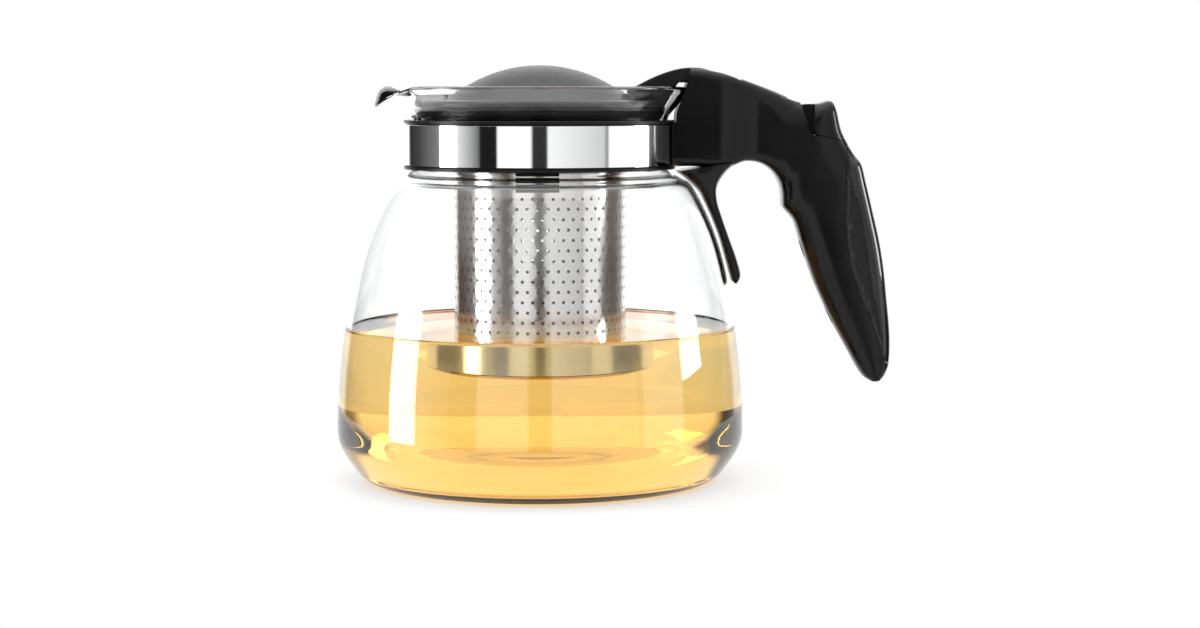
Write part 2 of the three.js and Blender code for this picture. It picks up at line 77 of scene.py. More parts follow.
# Where the back cover meets the handle in side view, and where the hollow along the cover ends.
SEAM = [(98.8, 105.2), (98.5, 92), (98.6, 81), (100.4, 70), (104.7, 58.5), (109.4, 47.6), (111.8, 39)]
SCOOP_REAR = [(99, 105.4), (100.7, 98), (103.2, 88), (105.2, 78), (107.1, 67.4), (109.3, 55.3), (111.2, 44)]

# The pivots and the clamp screw lie along Y, at these places in side view.
LEVER_AXIS = (88.7, 110.2)
HINGE_AXIS = (55.5, 124.5)
CLAMP_AXIS = (49.4, 108.7)
HALF_SEAM_GAP = 0.12
# Each cover screw's height, its head well's two ends and its own hole's two ends along X.
COVER_SCREWS = ((75, 70, 91.65, 80, 106.3), (53, 74, 100.15, 90, 110.8))


# ---- Settings a user would change ----
class GlassSettings(bpy.types.PropertyGroup):
    wall: bpy.props.FloatProperty(
        name="Wall",
        description="Thickness of the jug's glass",
        default=0.0016,
        min=0.001,
        max=0.0022,
        unit="LENGTH",
    )
    tint: bpy.props.FloatVectorProperty(
        name="Tint",
        description="Colour of the glass",
        default=(0.985, 0.995, 0.992),
        subtype="COLOR",
        min=0,
        max=1,
    )
    tea_level: bpy.props.FloatProperty(
        name="Tea level",
        description="Height of the tea above the table",
        default=0.0497,
        min=0.01,
        max=0.09,
        unit="LENGTH",
    )
    tea_colour: bpy.props.FloatVectorProperty(
        name="Tea colour",
        description="Light that passes through a jugful of tea",
        default=(1.0, 0.77, 0.1),
        subtype="COLOR",
        min=0,
        max=1,
    )
    tea_strength: bpy.props.FloatProperty(
        name="Tea strength",
        description="How fast the tea takes the light up, per metre",
        default=14.0,
        min=0,
        max=200,
    )


class MetalSettings(bpy.types.PropertyGroup):
    columns: bpy.props.IntProperty(
        name="Hole columns", description="Columns of holes round the basket", default=54, min=12, max=90
    )
    rows: bpy.props.IntProperty(
        name="Hole rows", description="Rows of holes up the basket", default=14, min=2, max=20
    )
    hole_radius: bpy.props.FloatProperty(
        name="Hole radius",
        description="Radius of one hole in the basket's sheet",
        default=0.00052,
        min=0.0003,
        max=0.001,
        unit="LENGTH",
    )
    steel: bpy.props.FloatVectorProperty(
        name="Steel",
        description="Colour of the polished steel",
        default=(0.9, 0.905, 0.91),
        subtype="COLOR",
        min=0,
        max=1,
    )
    # The dome's default colour is far darker than bare steel: painted shade, so that the dome looks as dark
    # as steel in shadow.
    dome: bpy.props.FloatVectorProperty(
        name="Dome",
        description="Colour of the lid's dome",
        default=(0.07, 0.07, 0.072),
        subtype="COLOR",
        min=0,
        max=1,
    )


class PlasticSettings(bpy.types.PropertyGroup):
    black: bpy.props.FloatVectorProperty(
        name="Black",
        description="Colour of the handle",
        default=(0.0045, 0.0045, 0.005),
        subtype="COLOR",
        min=0,
        max=1,
    )
    roughness: bpy.props.FloatProperty(
        name="Roughness",
        description="Roughness of the handle",
        default=0.2,
        min=0.02,
        max=1,
        subtype="FACTOR",
    )


class StageSettings(bpy.types.PropertyGroup):
    floor: bpy.props.FloatVectorProperty(
        name="Floor",
        description="Colour of the floor",
        default=(0.93, 0.93, 0.93),
        subtype="COLOR",
        min=0,
        max=1,
    )
    lens: bpy.props.FloatProperty(
        name="Lens", description="Focal length of the camera, in millimetres", default=68.8, min=20, max=200
    )
    brightness: bpy.props.FloatProperty(
        name="Brightness", description="Strength of the studio light", default=1.36, min=0, max=5
    )


# ---- Curves ----
def spline(points, count):
    """A smooth curve through the points, as count + 1 evenly stepped points of the same kind."""
    last = len(points) - 1
    curve = []
    for i in range(count + 1):
        along = last * i / count
        k = min(int(along), last - 1)
        t = along - k
        p0, p1 = points[max(k - 1, 0)], points[k]
        p2, p3 = points[k + 1], points[min(k + 2, last)]
        curve.append(
            tuple(
                b + 0.5 * t * ((c - a) + t * ((2 * a - 5 * b + 4 * c - d) + t * (3 * (b - c) + d - a)))
                for a, b, c, d in zip(p0, p1, p2, p3)
            )
        )
    return curve


def arc(centre, radius, start, end, count):
    """Points on a circle from one angle to another, in degrees."""
    angles = [math.radians(start + (end - start) * i / count) for i in range(count + 1)]
    return [(centre[0] + radius * math.cos(a), centre[1] + radius * math.sin(a)) for a in angles]


def beside(points, distance):
    """The same line moved sideways, to the left of its direction."""
    moved = []
    for i, (x, z) in enumerate(points):
        before, after = points[max(i - 1, 0)], points[min(i + 1, len(points) - 1)]
        along = Vector((after[0] - before[0], after[1] - before[1])).normalized()
        moved.append((x - along.y * distance, z + along.x * distance))
    return moved


def smooth(t):
    """An S-shaped step from 0 to 1."""
    t = min(1.0, max(0.0, t))
    return t * t * (3 - 2 * t)


def mix(a, b, t):
    return a + (b - a) * t


def body_outer():
    """The jug's outside from its foot up to the neck."""
    return BODY_FOOT + spline(BODY_CONTROL, 64)


# ---- Modelling steps ----
def deselect():
    bpy.ops.object.select_all(action="DESELECT")


def only(obj):
    deselect()
    obj.select_set(True)
    bpy.context.view_layer.objects.active = obj


@contextmanager
def editing(obj, selection="SELECT"):
    """Edit mode on one piece, with all of it selected or none."""
    only(obj)
    bpy.ops.object.mode_set(mode="EDIT")
    bpy.ops.mesh.select_all(action=selection)
    yield
    bpy.ops.object.mode_set(mode="OBJECT")


def named(obj, name):
    obj.name = name
    obj.data.name = name
    return obj


def closed_mesh(obj):
    """Joins vertices that share a place and turns every face outwards."""
    with editing(obj):
        bpy.ops.mesh.remove_doubles(threshold=2e-7)
        bpy.ops.mesh.normals_make_consistent(inside=False)
    return obj


def line_of_edges(name, points):
    """A chain of edges in the XZ plane, drawn by pulling one vertex along."""
    deselect()
    bpy.ops.mesh.primitive_plane_add(size=0.001, location=(0, 0, 0))
    obj = named(bpy.context.object, name)
    with editing(obj):
        bpy.ops.mesh.merge(type="CENTER")
        x, z = points[0]
        bpy.ops.transform.translate(value=(x * MM, 0, z * MM))
        for (x0, z0), (x1, z1) in zip(points, points[1:]):
            step = ((x1 - x0) * MM, 0, (z1 - z0) * MM)
            bpy.ops.mesh.extrude_vertices_move(TRANSFORM_OT_translate={"value": step})
    return obj


def turned(name, profile, steps=128):
    """A piece spun round the Z axis from a closed or axis-to-axis profile of (radius, height) points."""
    obj = line_of_edges(name, profile)
    with editing(obj):
        bpy.ops.mesh.spin(steps=steps, angle=math.tau, center=(0, 0, 0), axis=(0, 0, 1))
    return closed_mesh(obj)


def hoop(name, inner, outer, bottom, top, steps=128, edge=0.0):
    """A ring with a rectangular section, its four corners eased by edge."""
    if edge:
        e = edge
        profile = [
            (inner + e, bottom), (outer - e, bottom), (outer, bottom + e), (outer, top - e),
            (outer - e, top), (inner + e, top), (inner, top - e), (inner, bottom + e), (inner + e, bottom),
        ]
    else:
        profile = [(inner, bottom), (outer, bottom), (outer, top), (inner, top), (inner, bottom)]
    return turned(name, profile, steps)


def ring_of_points(name, count):
    """A closed ring of edges round the origin, still to be shaped."""
    deselect()
    bpy.ops.mesh.primitive_circle_add(vertices=count, radius=0.01, fill_type="NOTHING", location=(0, 0, 0))
    return named(bpy.context.object, name)


def plate(name, outline, half_width, edge=0.0, segments=3):
    """A side-view outline of (x, z) points given width along Y, its rims rounded by edge."""
    obj = ring_of_points(name, len(outline))
    for vertex, (x, z) in zip(obj.data.vertices, outline):
        vertex.co = (x * MM, -half_width * MM, z * MM)
    with editing(obj):
        bpy.ops.mesh.edge_face_add()
        bpy.ops.mesh.extrude_region_move(TRANSFORM_OT_translate={"value": (0, 2 * half_width * MM, 0)})
    closed_mesh(obj)
    if edge:
        bevel = obj.modifiers.new("rounded rims", "BEVEL")
        bevel.width = edge * MM
        bevel.segments = segments
        bevel.limit_method = "ANGLE"
        bevel.angle_limit = math.radians(50)
        bpy.ops.object.modifier_apply(modifier=bevel.name)
    return obj


def block(name, x0, x1, y0, y1, z0, z1, edge=0.0):
    """A box between two places on each axis."""
    obj = plate(name, [(x0, z0), (x1, z0), (x1, z1), (x0, z1)], (y1 - y0) / 2, edge)
    for vertex in obj.data.vertices:
        vertex.co.y += (y0 + y1) / 2 * MM
    return obj


def bar(name, radius, start, end, vertices=32):
    """A round bar from one point to another."""
    start, end = Vector(start), Vector(end)
    along = end - start
    deselect()
    bpy.ops.mesh.primitive_cylinder_add(
        vertices=vertices,
        radius=radius * MM,
        depth=along.length * MM,
        location=(start + end) / 2 * MM,
        rotation=along.to_track_quat("Z", "Y").to_euler(),
    )
    obj = named(bpy.context.object, name)
    bpy.ops.object.transform_apply(location=True, rotation=True, scale=True)
    return obj


def cross_bar(name, radius, axis, y0, y1, vertices=32):
    """A round bar along Y on an axis given in side view."""
    return bar(name, radius, (axis[0], y0, axis[1]), (axis[0], y1, axis[1]), vertices)


def stack_of_rings(name, around, levels):
    """A tube of rings, LEVEL_STEP apart, that is then shaped ring by ring."""
    obj = ring_of_points(name, around)
    with editing(obj):
        for _ in range(levels - 1):
            bpy.ops.mesh.extrude_region_move(TRANSFORM_OT_translate={"value": (0, 0, LEVEL_STEP)})
    return obj


def close_ends(obj):
    """Caps the open ends of a tube."""
    with editing(obj, "DESELECT"):
        bpy.ops.mesh.select_non_manifold(extend=False)
        bpy.ops.mesh.edge_face_add()
    return closed_mesh(obj)


def loft(name, stations, around):
    """A closed skin through stations of (outer x, outer z, inner x, inner z, half width, squareness).

    Each station is a rounded rectangle between its outer and inner point. The first and last are capped.
    """
    obj = stack_of_rings(name, around, len(stations))
    rings = {}
    for vertex in obj.data.vertices:
        rings.setdefault(round(vertex.co.z / LEVEL_STEP), []).append(vertex)
    for level, (ox, oz, ix, iz, half, square) in enumerate(stations):
        middle = Vector(((ox + ix) / 2, 0, (oz + iz) / 2))
        reach = Vector(((ox - ix) / 2, 0, (oz - iz) / 2))
        for vertex in rings[level]:
            angle = math.atan2(vertex.co.y, vertex.co.x)
            c, s = math.cos(angle), math.sin(angle)
            cx = math.copysign(abs(c) ** (2 / square), c)
            sy = math.copysign(abs(s) ** (2 / square), s)
            vertex.co = (middle + reach * cx + Vector((0, half * sy, 0))) * MM
    return close_ends(obj)


def boolean(obj, other, operation):
    """Cuts, joins or keeps the overlap of two closed pieces."""
    only(obj)
    modifier = obj.modifiers.new("boolean", "BOOLEAN")
    modifier.object = other
    modifier.operation = operation
    modifier.solver = "MANIFOLD"
    bpy.ops.object.modifier_apply(modifier=modifier.name)
    bpy.data.objects.remove(other)
    if not obj.data.polygons:
        raise RuntimeError(obj.name + " has no faces left after the " + operation.lower() + " step")
    return obj


def cut(obj, *tools):
    for tool in tools:
        boolean(obj, tool, "DIFFERENCE")
    return obj


def join_solids(obj, *others):
    for other in others:
        boolean(obj, other, "UNION")
    return obj


def duplicate(obj, name):
    copy = obj.copy()
    copy.data = obj.data.copy()
    named(copy, name)
    bpy.context.scene.collection.objects.link(copy)
    return copy


def finish_piece(obj, name, body, material, replaced=(), smooth_angle=None):
    """Names the piece, gives it its material and shading, and hangs it on its body of the frame."""
    only(obj)
    if smooth_angle is None:
        bpy.ops.object.shade_smooth()
    else:
        bpy.ops.object.shade_smooth_by_angle(angle=math.radians(smooth_angle))
    named(obj, name)
    obj.data.materials.clear()
    obj.data.materials.append(material)
    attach(obj, body)
    if replaced:
        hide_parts(*replaced)
    return obj


# ---- Materials ----
class Shader:
    """A node material built step by step round one Principled BSDF."""

    def __init__(self, name):
        self.material = bpy.data.materials.get(name) or bpy.data.materials.new(name)
        self.material.use_nodes = True
        self.nodes = self.material.node_tree.nodes
        self.links = self.material.node_tree.links
        self.nodes.clear()
        self.output = self.add("ShaderNodeOutputMaterial")
        self.bsdf = self.add("ShaderNodeBsdfPrincipled")
        self.link(self.bsdf.outputs["BSDF"], self.output.inputs["Surface"])

    def add(self, kind, **settings):
        node = self.nodes.new(kind)
        for key, value in settings.items():
            setattr(node, key, value)
        return node

    def link(self, source, target):
        self.links.new(source, target)

    def feed(self, source, name):
        """Runs a value or a colour into one of the surface's inputs."""
        self.link(source, self.bsdf.inputs[name])

    def set(self, **values):
        """Gives the surface's inputs fixed values."""
        for key, value in values.items():
            socket = self.bsdf.inputs[key.replace("_", " ")]
            socket.default_value = (*value, 1) if isinstance(value, tuple) else value

    def coords(self, scale=(1, 1, 1)):
        place = self.add("ShaderNodeTexCoord")
        mapping = self.add("ShaderNodeMapping")
        mapping.inputs["Scale"].default_value = scale
        self.link(place.outputs["Object"], mapping.inputs["Vector"])
        return mapping.outputs["Vector"]

    def noise(self, scale, detail=3, stretch=(1, 1, 1)):
        node = self.add("ShaderNodeTexNoise")
        node.inputs["Scale"].default_value = scale
        node.inputs["Detail"].default_value = detail
        self.link(self.coords(stretch), node.inputs["Vector"])
        return node.outputs["Fac"]

    def spread(self, source, low, high, start=0.3, end=0.7):
        """A value moved from start..end to low..high."""
        node = self.add("ShaderNodeMapRange")
        node.inputs["From Min"].default_value = start
        node.inputs["From Max"].default_value = end
        node.inputs["To Min"].default_value = low
        node.inputs["To Max"].default_value = high
        self.link(source, node.inputs["Value"])
        return node.outputs["Result"]

    def ramp(self, source, stops):
        node = self.add("ShaderNodeValToRGB")
        elements = node.color_ramp.elements
        while len(elements) < len(stops):
            elements.new(0.5)
        for element, (place, colour) in zip(elements, stops):
            element.position = place
            element.color = (*colour, 1)
        self.link(source, node.inputs["Fac"])
        return node.outputs["Color"]

    def bump(self, source, strength, distance):
        node = self.add("ShaderNodeBump")
        node.inputs["Strength"].default_value = strength
        node.inputs["Distance"].default_value = distance
        self.link(source, node.inputs["Height"])
        self.feed(node.outputs["Normal"], "Normal")


def tinted(colour, share):
    return tuple(min(1.0, c * share) for c in colour)


def glass_material(tint):
    shader = Shader("clear glass")
    shader.set(Roughness=0.0, IOR=1.47, Transmission_Weight=1.0, Base_Color=tuple(tint))
    marks = shader.noise(60, 2)
    height = shader.add("ShaderNodeSeparateXYZ")
    shader.link(shader.coords(), height.inputs["Vector"])
    # Painted warm light: towards its foot the glass turns orange, standing in for light coming up through
    # the tea from the floor.
    foot = shader.spread(height.outputs["Z"], 0, 1, 0.006, 0.034)
    shader.feed(shader.ramp(foot, [(0.1, (1.0, 0.9, 0.74)), (0.9, tuple(tint))]), "Base Color")
    shader.feed(shader.spread(marks, 0.0, 0.012, 0.5, 0.8), "Roughness")
    return shader.material


def tea_material(colour, strength):
    shader = Shader("amber tea")
    shader.set(Roughness=0.0, IOR=1.333, Transmission_Weight=1.0, Base_Color=(1.0, 0.985, 0.95))
    haze = shader.noise(25, 2)
    shader.feed(shader.ramp(haze, [(0.3, (1.0, 0.985, 0.95)), (0.7, (1.0, 0.97, 0.92))]), "Base Color")
    volume = shader.add("ShaderNodeVolumeAbsorption")
    volume.inputs["Color"].default_value = (*colour, 1)
    volume.inputs["Density"].default_value = strength
    shader.link(volume.outputs["Volume"], shader.output.inputs["Volume"])
    return shader.material


def polished_steel(colour):
    shader = Shader("polished steel")
    shader.set(Metallic=1.0, Roughness=0.05, Base_Color=tuple(colour))
    film = shader.noise(30, 4)
    shader.feed(shader.ramp(film, [(0.3, tuple(colour)), (0.75, tinted(colour, 0.95))]), "Base Color")
    shader.feed(shader.spread(film, 0.03, 0.07), "Roughness")
    return shader.material


def satin_steel(name, colour, low, high, stretch=(1, 1, 18), grain=0.00001):
    """Steel with a fine drawn grain."""
    shader = Shader(name)
    shader.set(Metallic=1.0, Base_Color=tuple(colour), Anisotropic=0.3)
    grain_lines = shader.noise(900, 4, stretch)
    clouds = shader.noise(40, 3)
    shader.feed(shader.ramp(clouds, [(0.3, tinted(colour, 0.93)), (0.7, tuple(colour))]), "Base Color")
    shader.feed(shader.spread(grain_lines, low, high), "Roughness")
    shader.bump(grain_lines, 0.25, grain)
    return shader.material


def black_plastic(name, colour, roughness, grain=0.0, coat=0.0):
    """Moulded black plastic: slightly uneven gloss, with a fine grain where it's satin."""
    shader = Shader(name)
    shader.set(Base_Color=tuple(colour), IOR=1.5, Specular_IOR_Level=0.22)
    shader.set(Coat_Weight=coat, Coat_Roughness=0.06)
    wear = shader.noise(55, 5)
    shader.feed(shader.ramp(wear, [(0.3, tinted(colour, 0.8)), (0.75, tinted(colour, 1.3))]), "Base Color")
    shader.feed(shader.spread(wear, roughness * 0.85, roughness * 1.2), "Roughness")
    if grain:
        shader.bump(shader.noise(2200, 2), 0.3, grain)
    return shader.material


def seal_rubber():
    shader = Shader("grey silicone")
    shader.set(IOR=1.42)
    clouds = shader.noise(120, 3)
    shader.feed(shader.ramp(clouds, [(0.3, (0.24, 0.25, 0.27)), (0.7, (0.3, 0.31, 0.33))]), "Base Color")
    shader.feed(shader.spread(clouds, 0.5, 0.65), "Roughness")
    return shader.material


def gloss_black():
    settings = bpy.context.scene.tea_plastic
    return black_plastic("gloss black plastic", tuple(settings.black), settings.roughness, coat=0.06)


def deep_gloss_black():
    settings = bpy.context.scene.tea_plastic
    colour, roughness = tuple(settings.black), settings.roughness * 0.6
    return black_plastic("deep gloss black plastic", colour, roughness, coat=0.7)


def satin_black():
    settings = bpy.context.scene.tea_plastic
    return black_plastic("satin black plastic", tinted(settings.black, 1.2), 0.32, grain=0.000008)


# ---- Jug ----
def jug_section(rim, wall):
    """Up the outside, over the rounded edge and down the inside to the axis."""
    outer = body_outer() + [(NECK_RADIUS, 100.6)] + spline(rim, 24)
    inside = beside(outer, wall)[5:]
    tip, start = Vector(outer[-1]), Vector(inside[-1])
    middle = (tip + start) / 2
    across = (tip - start) / 2
    crown = [
        tuple(middle + across * math.cos(angle) + Vector((-across.y, across.x)) * math.sin(angle))
        for angle in (math.pi * i / 8 for i in range(1, 8))
    ]
    floor = [(inside[0][0] - 1.2, 3.25), (inside[0][0] - 3.2, 3.02), (40, 3), (20, 3), (0, 3)]
    foot = [(0, 0), (26, 0), (46, 0)]
    return foot + outer + crown + list(reversed(inside)) + floor


class TEAJUG_OT_glass(bpy.types.Operator):
    """Blow the glass jug: one spun wall with a rounded rim and a pouring lip"""

    bl_idname = "teajug.glass"
    bl_label = "Glass jug"

    def execute(self, context):
        wall = context.scene.tea_glass.wall / MM
        plain = jug_section(RIM_CONTROL, wall)
        lip = jug_section(LIP_CONTROL, wall)
        jug = turned("glass", plain, steps=160)
        pairs = [(Vector(a), Vector(b)) for a, b in zip(plain, lip)]
        pairs = [(here, there) for here, there in pairs if (here - there).length > 1e-6]
        for vertex in jug.data.vertices:
            if vertex.co.z < 0.1165:
                continue
            angle = math.atan2(vertex.co.y, vertex.co.x)
            share = smooth(1 - (math.pi - abs(angle)) / LIP_HALF_ANGLE)
            if share == 0:
                continue
            place = Vector((math.hypot(vertex.co.x, vertex.co.y) / MM, vertex.co.z / MM))
            here, there = min(pairs, key=lambda pair: (pair[0] - place).length_squared)
            radius, height = here.lerp(there, share)
            vertex.co = (radius * MM * math.cos(angle), radius * MM * math.sin(angle), height * MM)
        material = glass_material(context.scene.tea_glass.tint)
        finish_piece(jug, "jug", "pot", material, ["glass_jug"])
        return {"FINISHED"}


class TEAJUG_OT_tea(bpy.types.Operator):
    """Fill the jug with tea up to its level, overlapping the wall so that no air shows between them"""

    bl_idname = "teajug.tea"
    bl_label = "Tea"

    def execute(self, context):
        settings = context.scene.tea_glass
        wall = settings.wall / MM
        level = settings.tea_level / MM
        inside = [p for p in beside(body_outer(), wall - TEA_OVERLAP) if 2.2 < p[1] < level + 0.9]
        edge = inside[-1][0]
        climb = [(edge - d, level + 1.0 * math.exp(-d / 0.9)) for d in (0.25, 0.6, 1.1, 1.8, 2.8, 4.2, 6)]
        foot = inside[0][0]
        floor = [(0, 1), (30, 1), (foot - 4.5, 1.05), (foot - 1.6, 1.4)]
        surface = [(45, level), (30, level), (15, level), (0, level)]
        tea = turned("tea", floor + inside + climb + surface, steps=160)
        liquid = tea_material(tuple(settings.tea_colour), settings.tea_strength)
        finish_piece(tea, "tea", "pot", liquid)
        return {"FINISHED"}


# ---- Neck ----
class TEAJUG_OT_neck(bpy.types.Operator):
    """Fit the steel band round the neck and its black liner, with the hole for the tightening screw"""

    bl_idname = "teajug.neck"
    bl_label = "Neck band"

    def execute(self, context):
        liner = turned(
            "liner",
            [
                (41.85, 101.1), (42.05, 100.9), (43.7, 100.9), (43.9, 101.1), (43.9, 101.75), (43.7, 101.9),
                (43, 101.95), (43, 115.55), (43.7, 115.6), (43.9, 115.8), (43.9, 116.4), (43.7, 116.6),
                (42.05, 116.6), (41.85, 116.4), (41.85, 101.1),
            ],
            steps=160,
        )
        cut(liner, block("slit", 41, 45, -0.35, 0.35, 100, 101.7))
        finish_piece(liner, "liner", "pot", satin_black(), ["neck_liner"], 35)

        band = hoop("band", 43.3, 43.9, 102.2, 115.2, steps=192, edge=0.15)
        cut(band, block("split", 30, 60, -2, 2, 100, 118))
        for side in (-1, 1):
            outline = [(43.5, 103.2), (52, 103.2), (53, 104.2), (53, 113.2), (52, 114.2), (43.5, 114.2)]
            ear = plate("ear", outline, 0.3)
            for vertex in ear.data.vertices:
                vertex.co.y += side * 2.3 * MM
            boolean(band, ear, "UNION")
        cut(band, cross_bar("hole", 1.85, CLAMP_AXIS, -8, 8))
        steel = polished_steel(context.scene.tea_metal.steel)
        finish_piece(band, "band", "pot", steel, ["neck_band"], 35)
        return {"FINISHED"}


# ---- Handle ----
def half_width(x, z):
    """Half the handle's width at a place in side view."""
    head = mix(13.2, 10.5, smooth((x - 58) / 12))
    if x < 67.1:
        return mix(head, 6.5, smooth((101 - z) / 14))
    return mix(head, 7.8, smooth((90 - z) / 60))


# Outer x, outer z, inner x, inner z and squareness, from the head down to the end of the grip.
HANDLE_STATIONS = [
    (36, 133.2, 36, 101.9, 10),
    (44, 133.3, 44, 101.9, 10),
    (49.8, 133.2, 49.8, 101.9, 10),
    (57, 132.1, 56.5, 101.4, 9.5),
    (62, 130.7, 61.5, 101.8, 9),
    (66, 129.4, 66, 103.4, 8),
    (71, 127.6, 70.6, 102.9, 6.5),
    (76, 125.7, 74, 101, 5.2),
    (81.2, 123.6, 76.3, 98.3, 4.0),
    (88.4, 121.9, 77.6, 95.4, 4.0),
    (94.6, 122.4, 78.1, 92.6, 4.0),
    (97.4, 113, 78.2, 90.2, 4.0),
    (101.4, 105.9, 78.6, 88.4, 4.0),
    (103.9, 102.6, 81.4, 85.2, 4.0),
    (105.6, 96.4, 82.7, 82.4, 3.8),
    (107.9, 87.1, 84.4, 76.8, 3.6),
    (110.2, 77.4, 86.4, 71, 3.4),
    (111.7, 68.5, 88.8, 64.4, 3.3),
    (112.7, 59.5, 91.8, 57.6, 3.2),
    (113.7, 50, 95.2, 50.6, 3.1),
    (114, 42.5, 99.4, 43, 3.0),
    (113.6, 37.4, 102.9, 36.7, 2.9),
    (112.4, 34.2, 105, 33.6, 2.7),
    (110.9, 32.5, 107.2, 32.1, 2.5),
]
# The same along the leg that runs down beside the glass.
LEG_STATIONS = [
    (43.9, 100.2, 64.4, 103.6, 4.0),
    (46.6, 98.2, 60.4, 100.3, 4.0),
    (50.9, 94.2, 57.5, 95.8, 3.8),
    (53.0, 90.6, 57.4, 90.9, 3.4),
    (55.4, 85.4, 59.1, 85.2, 3.1),
    (57.9, 79.0, 61.5, 78.4, 3.0),
    (59.7, 72.9, 63.6, 72.7, 2.9),
    (61.3, 67.2, 65.1, 67.4, 2.8),
    (62, 64.9, 64.9, 65.2, 2.6),
    (62.9, 64, 64, 64, 2.4),
]


def limb(name, stations, count, around):
    """A closed skin along smoothed stations, as wide as the handle is there."""
    dense = [
        (ox, oz, ix, iz, half_width((ox + ix) / 2, (oz + iz) / 2), square)
        for ox, oz, ix, iz, square in spline(stations, count)
    ]
    return loft(name, dense, around)


def handle_skin():
    """The whole handle as one skin, before the seams are cut: head and grip, with the leg joined on."""
    skin = limb("handle skin", HANDLE_STATIONS, 115, 80)
    return boolean(skin, limb("leg skin", LEG_STATIONS, 48, 48), "UNION")


def body_outline():
    """The handle's own outline: everything in front of the cover seam and under the lever."""
    rear = [(x - HALF_SEAM_GAP, z) for x, z in spline(SEAM, 40)]
    under_lever = [(98.55, 109.75), (93.3, 110.9), (89.2, 111.75), (87.6, 111.6), (86.7, 112.5)]
    return (
        [(30, 140), (30, 60), (120, 20), (120, 37.5), (112.1, 38.1)]
        + list(reversed(rear))[1:]
        + under_lever
        + [(83.6, 122.4), (82, 140)]
    )


def cover_outline():
    """The back cover's outline: everything behind the seam."""
    rear = [(x + HALF_SEAM_GAP, z) for x, z in spline(SEAM, 40)]
    return [(98.9, 110.1)] + rear + [(112.2, 38.45), (125, 37.8), (125, 110.1)]


# The lever's outline stands off the handle's, so that the lever can swing 20 degrees forward.
LEVER_OUTLINE = [
    (88.3, 130), (88.35, 122.4), (88.05, 113), (88.9, 112.15), (93.4, 111.15), (98.8, 109.95),
    (94.3, 122.6), (93, 130),
]


def surface_y(skin, x, z, side):
    """Where the skin's side surface lies at a place in side view, in millimetres."""
    hit, place, _, _ = skin.ray_cast(Vector((x * MM, side * 0.05, z * MM)), Vector((0, -side, 0)))
    return abs(place.y) / MM if hit else half_width(x, z) * 0.8


def scoop(skin, side):
    """A lens-shaped hollow along the cover that deepens slowly from the seam and ends in a steep step."""
    rows, across, deepest, turn_at = 64, 18, 2.6, 0.74
    front, rear = spline([(x + 0.5, z) for x, z in SEAM[:-1]], rows), spline(SCOOP_REAR, rows)
    deselect()
    bpy.ops.mesh.primitive_grid_add(x_subdivisions=rows, y_subdivisions=across, size=2, location=(0, 0, 0))
    obj = named(bpy.context.object, "scoop")
    for vertex in obj.data.vertices:
        i = round((vertex.co.x + 1) / 2 * rows)
        t = (vertex.co.y + 1) / 2
        x, z = mix(front[i][0], rear[i][0], t), mix(front[i][1], rear[i][1], t)
        ends = math.sin(math.pi * i / rows) ** 0.6
        fall = smooth(t / turn_at) if t < turn_at else 1 - (t - turn_at) / (1 - turn_at)
        face = surface_y(skin, x, z, side) - deepest * ends * fall + 0.03
        vertex.co = (x * MM, side * face * MM, z * MM)
    with editing(obj):
        bpy.ops.mesh.extrude_region_move(TRANSFORM_OT_translate={"value": (0, side * 0.012, 0)})
    return closed_mesh(obj)


def groove(skin, side):
    """A round-bottomed channel along the seam on one side, as a thin closed tube to cut with."""
    radius = 0.42
    places = [Vector((x, side * surface_y(skin, x, z, side), z)) for x, z in spline(SEAM, 90)]
    obj = stack_of_rings("groove", 10, len(places))
    for vertex in obj.data.vertices:
        level = round(vertex.co.z / LEVEL_STEP)
        angle = math.atan2(vertex.co.y, vertex.co.x)
        along = (places[min(level + 1, len(places) - 1)] - places[max(level - 1, 0)]).normalized()
        across = along.cross(Vector((0, 1, 0))).normalized()
        reach = across * math.cos(angle) + across.cross(along) * math.sin(angle)
        vertex.co = (places[level] + reach * radius) * MM
    return close_ends(obj)


def both_sides(tool, skin):
    return [tool(skin, side) for side in (-1, 1)]


def screw_ways(with_heads):
    """The holes for the cover's screws, and in the handle the wells for their heads."""
    ways = []
    for z, well, seat, start, end in COVER_SCREWS:
        if with_heads:
            ways.append(bar("screw head well", 2.95, (well, 0, z), (seat, 0, z)))
        ways.append(bar("cover screw way", 1.6, (start, 0, z), (end, 0, z)))
    return ways


